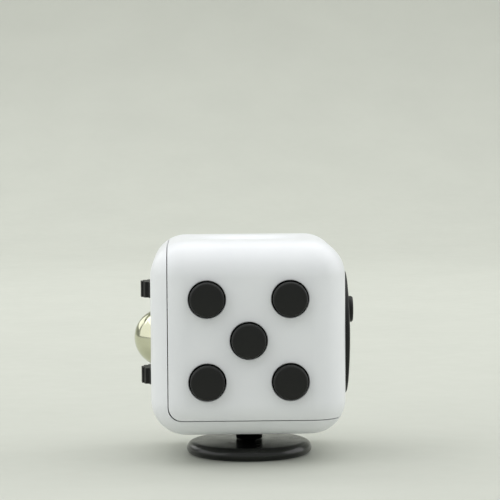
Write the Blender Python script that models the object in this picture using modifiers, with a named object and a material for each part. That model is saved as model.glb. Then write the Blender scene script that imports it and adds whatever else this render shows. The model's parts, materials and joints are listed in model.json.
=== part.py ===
"""Fidget cube: a palm-sized desk toy with a different control on each face.

Front (-Y) five press buttons, left (-X) three thumb gears and a rolling ball, right (+X) a spinning
dial, top (+Z) a thumb dish, back (+Y) a rocker switch, bottom (-Z) a gliding joystick on whose cap
the cube stands. Places are given from the cube's centre, which an empty holds above the floor.
"""

import math

import bmesh
import bpy
from mathutils import Matrix, Vector

MM = 0.001

# Casing: a rounded cube, split into two shells of three faces each.
HALF = 16.5 * MM
FILLET = 6.0 * MM
WALL = 2.0 * MM
INNER = HALF - WALL
SEAM_INSET = 3.0 * MM
SEAM_GAP = 0.15 * MM
SEAM_CORNER = 2.3 * MM

# Clearances: between pieces that rest on each other, round a running shaft, round a pin that is
# held, and where one piece moves past another.
REST_GAP = 0.1 * MM
RUN_GAP = 0.08 * MM
HOLD_GAP = 0.05 * MM
PASS_GAP = 0.15 * MM

# Shared by the inside pieces: a moulded wall, a screw ear's half width, how deep a clearance hole is
# cut, and how deep a screw's pilot hole goes into the casing's wall.
THIN_WALL = 0.8 * MM
EAR_HALF_WIDTH = 1.8 * MM
THROUGH_DEPTH = 2.0 * MM
WALL_PILOT_DEPTH = 1.3 * MM

# Front: five buttons over domes on a switch plate.
BUTTON_PITCH = 6.95 * MM
BUTTON_RADIUS = 2.9 * MM
BUTTON_HEIGHT = 1.4 * MM
BUTTON_BEVEL = 0.4 * MM
BUTTON_HOLE = 3.15 * MM
BUTTON_FLANGE = 3.6 * MM
BUTTON_FOOT = 1.5 * MM
BUTTON_FOOT_DEPTH = 3.6 * MM
DOME_RADIUS = 2.2 * MM
DOME_HEIGHT = 0.65 * MM
DOME_SKIN = 0.15 * MM
PLATE_FRONT = -11.9 * MM
PLATE_THICKNESS = 1.0 * MM
PLATE_HALF = 12.6 * MM
PLATE_LEFT = -11.9 * MM
PLATE_BOSS_Z = 10.9 * MM
BOSS_RADIUS = 1.7 * MM

# Left: three gears on one shaft, with a ball in front of them.
GEAR_RADIUS = 5.2 * MM
GEAR_TOOTH = 0.4 * MM
GEAR_TEETH = 20
GEAR_THICKNESS = 2.75 * MM
GEAR_PITCH = 7.6 * MM
GEAR_X = -13.4 * MM
GEAR_Y = 4.6 * MM
GEAR_Z = -0.35 * MM
GEAR_CLEARANCE = 0.3 * MM
SHAFT_RADIUS = 0.8 * MM
SHAFT_HALF = 11.6 * MM
BRACKET_X = -7.6 * MM
BRACKET_THICKNESS = 0.8 * MM
BRACKET_ARM_Z = 9.5 * MM
BRACKET_ARM = 1.6 * MM
BRACKET_SCREW_X = -9.6 * MM
BRACKET_SCREW_Z = 6.0 * MM
BALL_RADIUS = 4.9 * MM
BALL_CENTER = Vector((-14.5, -6.4, -0.25)) * MM
BALL_HOLE_OUTER = 4.62 * MM
BALL_HOLE_INNER = 5.2 * MM
BALL_HOLE_DEPTH = 2.6 * MM
CUP_RADIUS = 4.4 * MM
CUP_FRONT = 3.2 * MM
CUP_BACK = 5.8 * MM
GUIDE_INNER = 4.65 * MM
GUIDE_OUTER = 5.3 * MM
GUIDE_FRONT = 3.0 * MM
GUIDE_FLOOR = 8.3 * MM
GUIDE_END = 9.3 * MM
GUIDE_SCREW_Z = 6.75 * MM
GUIDE_EAR_HALF = 1.6 * MM
CLICK_SPRING_SHEET = 0.25 * MM

# Right: a shallow domed dial with an off-centre grip nub.
DIAL_RADIUS = 10.75 * MM
DIAL_EDGE = 0.75 * MM
DIAL_APEX = 1.4 * MM
DIAL_Z = -0.2 * MM
DIAL_RECESS = 0.45 * MM
DIAL_SHAFT = 2.0 * MM
DIAL_SHAFT_END = 2.95 * MM
DIAL_CHAMFER = 0.25 * MM
WASHER_RADIUS = 3.4 * MM
WASHER_BOTTOM = 0.6 * MM
DIAL_SCREW_HEAD = 2.9 * MM
NUB_RADIUS = 2.25 * MM
NUB_HEIGHT = 1.75 * MM
NUB_PLACE = Vector((0, -4.2, 4.3)) * MM

# Top: a thumb dish, with the wall thickened under it.
DISH_HALF_X = 10.0 * MM
DISH_HALF_Y = 7.5 * MM
DISH_DEPTH = 1.8 * MM
DISH_BACKING = 1.9 * MM
DISH_BORDER = 1.4 * MM

# Back: a two-position rocker on a pin in a frame.
ROCKER_PIVOT_Y = 13.2 * MM
ROCKER_SWING = 8.0
ROCKER_END_RADIUS = 7.75 * MM
ROCKER_VALLEY = 3.5 * MM
ROCKER_UNDERSIDE = 1.0 * MM
ROCKER_HUB = 2.9 * MM
ROCKER_HALF_WIDTH = 3.8 * MM
ROCKER_GAP = 0.2 * MM
FRAME_HALF_X = 5.3 * MM
FRAME_HALF_Z = 9.1 * MM
FRAME_WALL = 1.05 * MM
FRAME_BACK = 14.1 * MM
FRAME_FLOOR = 8.8 * MM
FRAME_SCREW_Z = 10.6 * MM
PLUNGER_RADIUS = 0.95 * MM
PLUNGER_LENGTH = 1.4 * MM
PLUNGER_SOCKET = 6.6 * MM
PLUNGER_SOCKET_RADIUS = 1.8 * MM

# Bottom: a joystick in a gimbal. Its axis stands a little to the right of the cube's.
STICK_X = 0.3 * MM
PIVOT_Z = -10.75 * MM
STEM_RADIUS = 2.3 * MM
STEM_HOLE = 4.1 * MM
STEM_HUB = 2.4 * MM
STEM_HUB_HALF = 1.65 * MM
STEM_FOOT = 1.7 * MM
STEM_TOP = 2.4 * MM
CAP_RADIUS = 10.92 * MM
CAP_TOP = -18.9 * MM
CAP_CROWN = 0.25 * MM
CAP_WIDEST = -20.4 * MM
CAP_BOTTOM = -21.35 * MM
CAP_DISH = 8.6 * MM
CAP_DISH_DEPTH = 0.5 * MM
SPIGOT_RADIUS = 1.15 * MM
GIMBAL_PIN_RADIUS = 0.7 * MM
RING_HALF = 4.0 * MM
RING_HOLE = 2.75 * MM
RING_HEIGHT = 2.3 * MM
TRUNNION_RADIUS = 0.8 * MM
TRUNNION_END = 5.7 * MM
HOUSING_HALF_X = 6.1 * MM
HOUSING_HALF_Y = 5.6 * MM
HOUSING_INNER_X = 4.5 * MM
HOUSING_INNER_Y = 4.6 * MM
HOUSING_FOOT = -14.2 * MM
HOUSING_ROOF = -8.1 * MM
HOUSING_SCREW_Y = 7.6 * MM
TOWER_OUTER = 4.7 * MM
TOWER_INNER = 4.0 * MM
TOWER_TOP = -2.9 * MM
TOWER_THROAT = 2.9 * MM
CENTERING_PLATE = 3.7 * MM
CENTERING_PLATE_THICKNESS = 0.6 * MM

# Self-tapping screws.
SCREW_HEAD = 1.3 * MM
SCREW_HEAD_HEIGHT = 0.8 * MM
SCREW_SHANK = 0.55 * MM
SCREW_PILOT = 0.65 * MM
SCREW_DRIVE = 0.45 * MM

# The origin is on the floor under the middle of the outer box. The ball stands out further than the
# dial and the rocker further than the buttons, so the cube's centre is a little to one side of it.
CENTER_PLACE = Vector((0.55 * MM, -0.25 * MM, -CAP_BOTTOM))

LEFT = Vector((-1, 0, 0))
RIGHT = Vector((1, 0, 0))
FRONT = Vector((0, -1, 0))
BACK = Vector((0, 1, 0))
UP = Vector((0, 0, 1))
DOWN = Vector((0, 0, -1))


def clear_scene():
    for obj in list(bpy.data.objects):
        bpy.data.objects.remove(obj, do_unlink=True)


def new_collection(name, shown=True):
    collection = bpy.data.collections.new(name)
    collection.hide_render = not shown
    bpy.context.scene.collection.children.link(collection)
    return collection


def new_material(name, colour, roughness, metallic=0.0):
    material = bpy.data.materials.new(name)
    material.use_nodes = True
    shader = material.node_tree.nodes["Principled BSDF"]
    shader.inputs["Base Color"].default_value = (*colour, 1.0)
    shader.inputs["Roughness"].default_value = roughness
    shader.inputs["Metallic"].default_value = metallic
    material.diffuse_color = (*colour, 1.0)
    return material


clear_scene()
PARTS = new_collection("fidget_cube")
CUTTERS = new_collection("cutters", shown=False)

WHITE_PLASTIC = new_material("white_plastic", (0.80, 0.82, 0.84), 0.35)
BLACK_PLASTIC = new_material("black_plastic", (0.018, 0.018, 0.016), 0.38)
GREY_PLASTIC = new_material("grey_plastic", (0.22, 0.23, 0.24), 0.45)
SILICONE = new_material("silicone", (0.55, 0.56, 0.55), 0.6)
BALL_STEEL = new_material("ball_steel", (0.66, 0.63, 0.52), 0.18, 1.0)
STEEL = new_material("steel", (0.58, 0.58, 0.57), 0.3, 1.0)
SPRING_STEEL = new_material("spring_steel", (0.45, 0.45, 0.44), 0.35, 1.0)


def new_empty(name, place, parent=None):
    empty = bpy.data.objects.new(name, None)
    empty.empty_display_size = 2 * MM
    PARTS.objects.link(empty)
    empty.parent = parent
    empty.location = place
    return empty


CENTER = new_empty("cube_center", CENTER_PLACE)


def add(name, data, material, place, axis=UP, parent=None):
    """A piece whose own Z axis points along axis. place is measured from the cube's centre."""
    obj = bpy.data.objects.new(name, data)
    PARTS.objects.link(obj)
    data.materials.append(material)
    put(obj, place, axis, parent)
    return obj


def put(obj, place, axis, axis_empty=None):
    """A moving piece may hang from an empty that stands on its joint's axis."""
    obj.parent = axis_empty or CENTER
    obj.location = Vector(place) - (axis_empty.location if axis_empty else Vector())
    obj.rotation_mode = "QUATERNION"
    obj.rotation_quaternion = UP.rotation_difference(axis)


def add_cutter(name, data, place, axis=UP):
    obj = bpy.data.objects.new(name, data)
    CUTTERS.objects.link(obj)
    obj.hide_render = True
    obj.display_type = "WIRE"
    put(obj, place, axis)
    return obj


def mesh_from(name, build):
    """A mesh that the function build fills through bmesh."""
    mesh = bpy.data.meshes.new(name)
    work = bmesh.new()
    build(work)
    bmesh.ops.recalc_face_normals(work, faces=work.faces)
    work.to_mesh(mesh)
    work.free()
    return mesh


def box_mesh(name, low, high):
    """A box between two corners, given in the object's own frame."""
    low, high = Vector(low), Vector(high)
    size = high - low
    matrix = Matrix.Translation((low + high) / 2) @ Matrix.Diagonal((*size, 1))
    return mesh_from(name, lambda work: bmesh.ops.create_cube(work, size=1, matrix=matrix))


def cylinder_mesh(name, radius, low, high, segments=24, top_radius=None):
    """A cylinder or cone along the object's own Z axis, from low to high."""
    top = radius if top_radius is None else top_radius
    matrix = Matrix.Translation((0, 0, (low + high) / 2))
    return mesh_from(
        name,
        lambda work: bmesh.ops.create_cone(
            work,
            cap_ends=True,
            segments=segments,
            radius1=radius,
            radius2=top,
            depth=high - low,
            matrix=matrix,
        ),
    )


def profile_mesh(name, points, closed=False):
    """A chain of edges in the XZ plane, for a Screw modifier to turn."""
    mesh = bpy.data.meshes.new(name)
    edges = [(i, i + 1) for i in range(len(points) - 1)]
    if closed:
        edges.append((len(points) - 1, 0))
    mesh.from_pydata([(radius, 0, height) for radius, height in points], edges, [])
    return mesh


def turn(obj, segments):
    screw = obj.modifiers.new("turn", "SCREW")
    screw.steps = segments
    screw.render_steps = segments
    screw.use_merge_vertices = True
    screw.merge_threshold = 0.000001
    screw.use_smooth_shade = True
    return obj


def add_turned(name, points, material, place, axis=UP, segments=24, parent=None, closed=False):
    """A turned piece. Its profile is an open chain that starts and ends on the axis, or a closed one."""
    obj = add(name, profile_mesh(name, points, closed), material, place, axis, parent)
    return turn(obj, segments)


def arc(center_radius, center_height, radius, start, end, steps, flatten=1.0):
    """Points of a profile's round stretch. Angles are in degrees, from the outward direction."""
    angles = [math.radians(start + (end - start) * i / steps) for i in range(steps + 1)]
    return [
        (center_radius + radius * math.cos(a), center_height + flatten * radius * math.sin(a)) for a in angles
    ]


def combine(obj, other, operation):
    modifier = obj.modifiers.new(other.name, "BOOLEAN")
    modifier.operation = operation
    modifier.solver = "EXACT"
    modifier.object = other


def cut(obj, *others):
    for other in others:
        combine(obj, other, "DIFFERENCE")


def join(obj, *others):
    for other in others:
        combine(obj, other, "UNION")


def bevel(obj, width, segments):
    modifier = obj.modifiers.new("bevel", "BEVEL")
    modifier.width = width
    modifier.segments = segments
    modifier.limit_method = "ANGLE"
    modifier.angle_limit = math.radians(40)


def smooth(obj, angle=40):
    obj.data.shade_smooth()
    obj.data.set_sharp_from_angle(angle=math.radians(angle))


def outline_curve(name, outlines, half_thickness):
    """A flat plate from closed outlines. An outline inside another is a hole."""
    curve = bpy.data.curves.new(name, "CURVE")
    curve.dimensions = "2D"
    curve.fill_mode = "BOTH"
    curve.extrude = half_thickness
    for outline in outlines:
        spline = curve.splines.new("POLY")
        spline.points.add(len(outline) - 1)
        for point, (x, y) in zip(spline.points, outline):
            point.co = (x, y, 0, 1)
        spline.use_cyclic_u = True
    return curve


def circle_outline(radius, count):
    turn_step = 2 * math.pi / count
    return [(radius * math.cos(i * turn_step), radius * math.sin(i * turn_step)) for i in range(count)]


def add_spring(name, place, axis, radius, wire, length, turns, steps=9):
    """A compression spring that starts at place and runs along axis. Its length is over the wire."""
    curve = bpy.data.curves.new(name, "CURVE")
    curve.dimensions = "3D"
    curve.bevel_depth = wire
    curve.bevel_resolution = 2
    curve.use_fill_caps = True
    spline = curve.splines.new("POLY")
    count = int(turns * steps) + 1
    spline.points.add(count - 1)
    for i, point in enumerate(spline.points):
        angle = 2 * math.pi * i / steps
        height = wire + (length - 2 * wire) * i / (count - 1)
        point.co = (radius * math.cos(angle), radius * math.sin(angle), height, 1)
    return add(name, curve, SPRING_STEEL, place, axis)


def add_screw(name, place, axis, length, head=SCREW_HEAD):
    """A screw driven along axis. place is the underside of its head."""
    drive_depth = 0.5 * SCREW_HEAD_HEIGHT
    points = [
        (0, SCREW_HEAD_HEIGHT - drive_depth),
        (SCREW_DRIVE, SCREW_HEAD_HEIGHT - drive_depth),
        (SCREW_DRIVE, SCREW_HEAD_HEIGHT),
        (head, SCREW_HEAD_HEIGHT),
        (head, 0),
        (SCREW_SHANK, 0),
        (SCREW_SHANK, -length + 0.4 * MM),
        (0, -length),
    ]
    return add_turned(name, points, STEEL, place, -axis, 10)


def pilot(name, place, axis, depth, radius=SCREW_PILOT):
    """A cutter for a screw's hole, from half a millimetre before place to depth beyond it."""
    return add_cutter(name, cylinder_mesh(name, radius, -0.5 * MM, depth, 12), place, axis)


BUTTONS = {
    "upper_left": (-BUTTON_PITCH, BUTTON_PITCH),
    "upper_right": (BUTTON_PITCH, BUTTON_PITCH),
    "center": (0.0, 0.0),
    "lower_left": (-BUTTON_PITCH, -BUTTON_PITCH),
    "lower_right": (BUTTON_PITCH, -BUTTON_PITCH),
}
CLICKING = ("upper_left", "center", "lower_right")


def rounded_cube_mesh(name, half):
    return box_mesh(name, (-half, -half, -half), (half, half, half))


def add_body_block(name):
    """The casing's outside, hollowed. Both shells start as this block."""
    block = add(name, rounded_cube_mesh(name, HALF), WHITE_PLASTIC, (0, 0, 0))
    bevel(block, FILLET, 5)
    cavity = add_cutter(name + "_cavity", rounded_cube_mesh(name + "_cavity", INNER), (0, 0, 0))
    bevel(cavity, FILLET - WALL, 4)
    cut(block, cavity)
    return block


def seam_block(name, inset):
    """A block that holds the front, top and right faces, with rounded edges where the seam turns."""
    near, far = HALF - inset, 2 * HALF
    block = add_cutter(name, box_mesh(name, (-near, -far, -near), (far, near, far)), (0, 0, 0))
    bevel(block, SEAM_CORNER, 4)
    return block


def dish_cutter():
    """A shallow bowl whose rim lies on the top face."""
    bowl = (DISH_HALF_X**2 + DISH_DEPTH**2) / (2 * DISH_DEPTH)
    rim_angle = math.degrees(math.asin((bowl - DISH_DEPTH) / bowl))
    points = [(0, DISH_DEPTH), (DISH_HALF_X, DISH_DEPTH)]
    points += arc(0, bowl - DISH_DEPTH, bowl, -rim_angle, -90, 6)
    points[-1] = (0, -DISH_DEPTH)
    cutter = turn(add_cutter("dish_cutter", profile_mesh("dish_cutter", points), (0, 0, HALF)), 40)
    cutter.scale = (1, DISH_HALF_Y / DISH_HALF_X, 1)
    return cutter


def add_front_shell():
    """Front, top and right faces."""
    shell = add_body_block("front_shell")
    combine(shell, seam_block("front_shell_region", SEAM_INSET), "INTERSECT")
    backing_radius = DISH_HALF_X + DISH_BORDER
    backing_mesh = cylinder_mesh("dish_backing", backing_radius, -WALL - DISH_BACKING, -THIN_WALL, 32)
    backing = add_cutter("dish_backing", backing_mesh, (0, 0, HALF))
    backing.scale = (1, DISH_HALF_Y / DISH_HALF_X, 1)
    join(shell, backing)
    cut(shell, dish_cutter())
    for side, z in (("upper", PLATE_BOSS_Z), ("lower", -PLATE_BOSS_Z)):
        height = INNER + PLATE_FRONT - REST_GAP
        boss_mesh = cylinder_mesh("plate_boss_" + side, BOSS_RADIUS, -0.6 * MM, height, 16)
        join(shell, add_cutter("plate_boss_" + side, boss_mesh, (0, -INNER, z), BACK))
        cut(shell, pilot("plate_pilot_" + side, (0, -INNER + height, z), FRONT, 3.2 * MM))
    for label, (x, z) in BUTTONS.items():
        hole = cylinder_mesh("button_hole_" + label, BUTTON_HOLE, -1 * MM, WALL + 0.5 * MM, 24)
        cut(shell, add_cutter("button_hole_" + label, hole, (x, -HALF, z), BACK))
    recess = cylinder_mesh("dial_recess", DIAL_RADIUS + 0.3 * MM, -DIAL_RECESS, 1 * MM, 40)
    hole = cylinder_mesh("dial_hole", DIAL_SHAFT + RUN_GAP, -WALL - 1 * MM, 1 * MM, 20)
    cut(shell, add_cutter("dial_recess", recess, (HALF, 0, DIAL_Z), RIGHT))
    cut(shell, add_cutter("dial_hole", hole, (HALF, 0, DIAL_Z), RIGHT))
    smooth(shell)


# Each tongue: the face it grows from, the face it holds, and where it lies along their common edge.
TONGUES = (
    (LEFT, FRONT, 7.5 * MM),
    (LEFT, UP, -6.0 * MM),
    (DOWN, FRONT, -6.0 * MM),
    (DOWN, RIGHT, 5.0 * MM),
    (BACK, RIGHT, 6.0 * MM),
    (BACK, UP, -8.0 * MM),
)
TONGUE_FROM = 14.7 * MM
TONGUE_TO = 11.6 * MM
TONGUE_OUTER = 12.9 * MM
TONGUE_INNER = 12.1 * MM
TONGUE_HALF = 2.4 * MM


def tongue_cutter(number, grows, holds, along):
    """A snap tongue of the rear shell that lies under the front shell's edge."""
    edge = Vector([abs(v) for v in grows.cross(holds)])
    start = grows * TONGUE_TO + holds * TONGUE_INNER + edge * (along - TONGUE_HALF)
    end = grows * TONGUE_FROM + holds * TONGUE_OUTER + edge * (along + TONGUE_HALF)
    low = [min(a, b) for a, b in zip(start, end)]
    high = [max(a, b) for a, b in zip(start, end)]
    name = f"tongue_{number}"
    return add_cutter(name, box_mesh(name, low, high), (0, 0, 0))


def gear_places():
    return {"upper": GEAR_Z + GEAR_PITCH, "middle": GEAR_Z, "lower": GEAR_Z - GEAR_PITCH}


def add_rear_shell():
    """Left, bottom and back faces."""
    shell = add_body_block("rear_shell")
    cut(shell, seam_block("rear_shell_region", SEAM_INSET - SEAM_GAP))
    for number, (grows, holds, along) in enumerate(TONGUES):
        join(shell, tongue_cutter(number, grows, holds, along))
    slot_half = GEAR_THICKNESS / 2 + GEAR_CLEARANCE
    for label, z in gear_places().items():
        slot = cylinder_mesh("gear_slot_" + label, GEAR_RADIUS + GEAR_CLEARANCE, -slot_half, slot_half, 36)
        cut(shell, add_cutter("gear_slot_" + label, slot, (GEAR_X, GEAR_Y, z)))
    ball_hole = cylinder_mesh("ball_hole", BALL_HOLE_INNER, -BALL_HOLE_DEPTH, 0, 32, BALL_HOLE_OUTER)
    cut(shell, add_cutter("ball_hole", ball_hole, (-HALF, BALL_CENTER.y, BALL_CENTER.z), LEFT))
    opening_radius = ROCKER_END_RADIUS + ROCKER_GAP
    opening_half = ROCKER_HALF_WIDTH + 0.3 * MM
    opening = cylinder_mesh("rocker_opening", opening_radius, -opening_half, opening_half, 48)
    cut(shell, add_cutter("rocker_opening", opening, (0, ROCKER_PIVOT_Y, 0), RIGHT))
    hole = cylinder_mesh("stem_hole", STEM_HOLE, -WALL - 1 * MM, 1 * MM, 28)
    cut(shell, add_cutter("stem_hole", hole, (STICK_X, 0, -HALF), DOWN))
    for side in (-1, 1):
        where = (STICK_X, side * HOUSING_SCREW_Y, -INNER)
        cut(shell, pilot(f"housing_pilot_{side}", where, DOWN, WALL_PILOT_DEPTH))
        where = (0, INNER, side * FRAME_SCREW_Z)
        cut(shell, pilot(f"frame_pilot_{side}", where, BACK, WALL_PILOT_DEPTH))
        where = (BRACKET_SCREW_X, INNER, side * BRACKET_SCREW_Z)
        cut(shell, pilot(f"bracket_pilot_{side}", where, BACK, WALL_PILOT_DEPTH))
    smooth(shell)


def button_profile():
    """Heights are measured outwards from the front face."""
    flange_top = -WALL - 0.2 * MM
    return [
        (0, BUTTON_HEIGHT),
        (BUTTON_RADIUS - BUTTON_BEVEL, BUTTON_HEIGHT),
        (BUTTON_RADIUS, BUTTON_HEIGHT - BUTTON_BEVEL),
        (BUTTON_RADIUS, flange_top),
        (BUTTON_FLANGE, flange_top),
        (BUTTON_FLANGE, flange_top - THIN_WALL),
        (BUTTON_FOOT, flange_top - THIN_WALL),
        (BUTTON_FOOT, -BUTTON_FOOT_DEPTH),
        (0, -BUTTON_FOOT_DEPTH),
    ]


def dome_profile():
    """A thin metal dome, open underneath."""
    steps = 3
    outer = arc(0, 0, DOME_RADIUS, 90, 0, steps, DOME_HEIGHT / DOME_RADIUS)
    inner_radius = DOME_RADIUS - DOME_SKIN
    inner = arc(0, 0, inner_radius, 0, 90, steps, (DOME_HEIGHT - DOME_SKIN) / inner_radius)
    outer[0], inner[-1] = (0, DOME_HEIGHT), (0, DOME_HEIGHT - DOME_SKIN)
    return outer + inner


def pad_profile():
    """A solid rubber pad that deadens a silent button."""
    return [
        (0, DOME_HEIGHT),
        (0.6 * DOME_RADIUS, DOME_HEIGHT),
        (0.8 * DOME_RADIUS, 0.4 * DOME_HEIGHT),
        (DOME_RADIUS, 0.3 * DOME_HEIGHT),
        (DOME_RADIUS, 0),
        (0, 0),
    ]


def add_buttons():
    for label, (x, z) in BUTTONS.items():
        name = "button_" + label
        add_turned(name, button_profile(), BLACK_PLASTIC, (x, -HALF, z), FRONT, 24)
        seat = (x, PLATE_FRONT - HOLD_GAP, z)
        if label in CLICKING:
            add_turned("click_dome_" + label, dome_profile(), SPRING_STEEL, seat, FRONT, 14)
        else:
            add_turned("silent_pad_" + label, pad_profile(), SILICONE, seat, FRONT, 14)


def add_switch_plate():
    back = PLATE_FRONT + PLATE_THICKNESS
    low, high = (PLATE_LEFT, PLATE_FRONT, -PLATE_HALF), (PLATE_HALF, back, PLATE_HALF)
    plate = add("switch_plate", box_mesh("switch_plate", low, high), GREY_PLASTIC, (0, 0, 0))
    notch_half = 3.4 * MM
    notch_low = (-HALF, -HALF, BALL_CENTER.z - notch_half)
    notch_high = (-4.2 * MM, 0, BALL_CENTER.z + notch_half)
    cut(plate, add_cutter("plate_notch", box_mesh("plate_notch", notch_low, notch_high), (0, 0, 0)))
    for side, z in (("upper", PLATE_BOSS_Z), ("lower", -PLATE_BOSS_Z)):
        cut(plate, pilot("plate_hole_" + side, (0, back, z), FRONT, THROUGH_DEPTH))
        add_screw("plate_screw_" + side, (0, back + REST_GAP, z), FRONT, 3.7 * MM)


def gear_outline():
    """A thumb gear's edge: square-cut teeth with sloping flanks."""
    points = []
    step = 2 * math.pi / GEAR_TEETH
    root = GEAR_RADIUS - GEAR_TOOTH
    for tooth in range(GEAR_TEETH):
        for fraction, radius in ((0.0, root), (0.36, root), (0.5, GEAR_RADIUS), (0.86, GEAR_RADIUS)):
            angle = step * (tooth + fraction)
            points.append((radius * math.cos(angle), radius * math.sin(angle)))
    return points


def add_gears():
    bore = circle_outline(SHAFT_RADIUS + RUN_GAP, 16)
    for label, z in gear_places().items():
        curve = outline_curve("gear_" + label, [gear_outline(), bore], GEAR_THICKNESS / 2)
        add("gear_" + label, curve, BLACK_PLASTIC, (GEAR_X, GEAR_Y, z))
    shaft = cylinder_mesh("gear_shaft", SHAFT_RADIUS, -SHAFT_HALF, SHAFT_HALF, 16)
    add("gear_shaft", shaft, STEEL, (GEAR_X, GEAR_Y, 0))


def add_gear_bracket():
    """A plate behind the gears, with a flange on the back wall and two hooks that hold the shaft."""
    inner, outer = BRACKET_X, BRACKET_X + BRACKET_THICKNESS
    arm_top = BRACKET_ARM_Z + BRACKET_ARM
    flange_y = FRAME_BACK - BRACKET_THICKNESS
    plate_low, plate_high = (inner, -10.5 * MM, -arm_top), (outer, FRAME_BACK, arm_top)
    bracket = add("gear_bracket", box_mesh("gear_bracket", plate_low, plate_high), GREY_PLASTIC, (0, 0, 0))
    for side in (-1, 1):
        ends = sorted((side * BRACKET_ARM_Z, side * arm_top))
        arm_low = (GEAR_X - 0.4 * MM, GEAR_Y - 1.6 * MM, ends[0])
        arm_high = (inner + 0.3 * MM, GEAR_Y + 1.6 * MM, ends[1])
        arm = box_mesh("bracket_arm", arm_low, arm_high)
        join(bracket, add_cutter(f"bracket_arm_{side}", arm, (0, 0, 0)))
    reach = -11.0 * MM
    flange = box_mesh("bracket_flange", (reach, flange_y, -8 * MM), (inner + 0.3 * MM, FRAME_BACK, 8 * MM))
    join(bracket, add_cutter("bracket_flange", flange, (0, 0, 0)))
    bore = cylinder_mesh("shaft_bore", SHAFT_RADIUS + HOLD_GAP, -HALF, HALF, 16)
    cut(bracket, add_cutter("shaft_bore", bore, (GEAR_X, GEAR_Y, 0)))
    window = cylinder_mesh("guide_window", GUIDE_OUTER + 0.2 * MM, -2 * MM, 2 * MM, 24)
    cut(bracket, add_cutter("guide_window", window, (inner, BALL_CENTER.y, BALL_CENTER.z), RIGHT))
    for side in (-1, 1):
        where = (BRACKET_SCREW_X, flange_y, side * BRACKET_SCREW_Z)
        cut(bracket, pilot(f"bracket_hole_{side}", where, BACK, THROUGH_DEPTH))
        where = (outer, BALL_CENTER.y, BALL_CENTER.z + side * GUIDE_SCREW_Z)
        cut(bracket, pilot(f"guide_pilot_{side}", where, LEFT, THROUGH_DEPTH))
    for label, side in (("upper", 1), ("lower", -1)):
        where = (BRACKET_SCREW_X, flange_y - REST_GAP, side * BRACKET_SCREW_Z)
        add_screw("bracket_screw_" + label, where, BACK, 2.3 * MM)


def add_gear_click_spring():
    """A comb of spring steel with three fingers, each with a nose just clear of a gear's teeth."""
    back = BRACKET_X - REST_GAP
    front = back - CLICK_SPRING_SHEET
    nose_tip = GEAR_X + GEAR_RADIUS + PASS_GAP
    spine_low, spine_high = (front, GEAR_Y + 2.2 * MM, -9 * MM), (back, GEAR_Y + 4.4 * MM, 9 * MM)
    spine = box_mesh("gear_click_spring", spine_low, spine_high)
    spring = add("gear_click_spring", spine, SPRING_STEEL, (0, 0, 0))
    for label, z in gear_places().items():
        low = (front, GEAR_Y - 2.2 * MM, z - 0.9 * MM)
        high = (back, GEAR_Y + 2.5 * MM, z + 0.9 * MM)
        join(spring, add_cutter("finger_" + label, box_mesh("finger", low, high), (0, 0, 0)))
        low = (nose_tip, GEAR_Y - 0.4 * MM, z - 0.7 * MM)
        high = (front + 0.1 * MM, GEAR_Y + 0.4 * MM, z + 0.7 * MM)
        join(spring, add_cutter("nose_" + label, box_mesh("nose", low, high), (0, 0, 0)))


def add_ball():
    """The ball rolls in a cup that slides in its guide, so that the ball clicks when pressed."""
    ball = mesh_from(
        "ball",
        lambda work: bmesh.ops.create_uvsphere(work, u_segments=20, v_segments=12, radius=BALL_RADIUS),
    )
    smooth(add("ball", ball, BALL_STEEL, BALL_CENTER, BACK), 60)

    hollow = BALL_RADIUS + 0.12 * MM
    mouth = math.degrees(math.asin(CUP_FRONT / hollow))
    hollow_points = arc(0, 0, hollow, -mouth, -90, 5)
    cup_points = [(0, -hollow)] + hollow_points[-2::-1]
    cup_points += [(CUP_RADIUS, -CUP_FRONT), (CUP_RADIUS, -CUP_BACK), (0, -CUP_BACK)]
    add_turned("ball_cup", cup_points, GREY_PLASTIC, BALL_CENTER, LEFT, 24)

    guide_points = [
        (0, -GUIDE_FLOOR),
        (GUIDE_INNER, -GUIDE_FLOOR),
        (GUIDE_INNER, -GUIDE_FRONT),
        (GUIDE_OUTER, -GUIDE_FRONT),
        (GUIDE_OUTER, -GUIDE_END),
        (0, -GUIDE_END),
    ]
    guide = add_turned("ball_guide", guide_points, GREY_PLASTIC, BALL_CENTER, LEFT, 24)
    ear_front = BRACKET_X + BRACKET_THICKNESS + REST_GAP
    ear_back = ear_front + THIN_WALL
    for label, side in (("upper", 1), ("lower", -1)):
        ends = sorted((side * (GUIDE_INNER + 0.3 * MM), side * (GUIDE_SCREW_Z + 1.4 * MM)))
        low = (ear_front, BALL_CENTER.y - GUIDE_EAR_HALF, BALL_CENTER.z + ends[0])
        high = (ear_back, BALL_CENTER.y + GUIDE_EAR_HALF, BALL_CENTER.z + ends[1])
        join(guide, add_cutter("guide_ear_" + label, box_mesh("guide_ear", low, high), (0, 0, 0)))
        hole_place = (ear_back, BALL_CENTER.y, BALL_CENTER.z + side * GUIDE_SCREW_Z)
        cut(guide, pilot("guide_hole_" + label, hole_place, LEFT, THROUGH_DEPTH))
        head_place = Vector(hole_place) + RIGHT * REST_GAP
        add_screw("guide_screw_" + label, head_place, LEFT, 1.8 * MM)

    spring_start = BALL_CENTER + RIGHT * (CUP_BACK + REST_GAP)
    spring_length = GUIDE_FLOOR - CUP_BACK - 2 * REST_GAP
    add_spring("ball_spring", spring_start, RIGHT, 3.0 * MM, 0.25 * MM, spring_length, 3)


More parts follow.
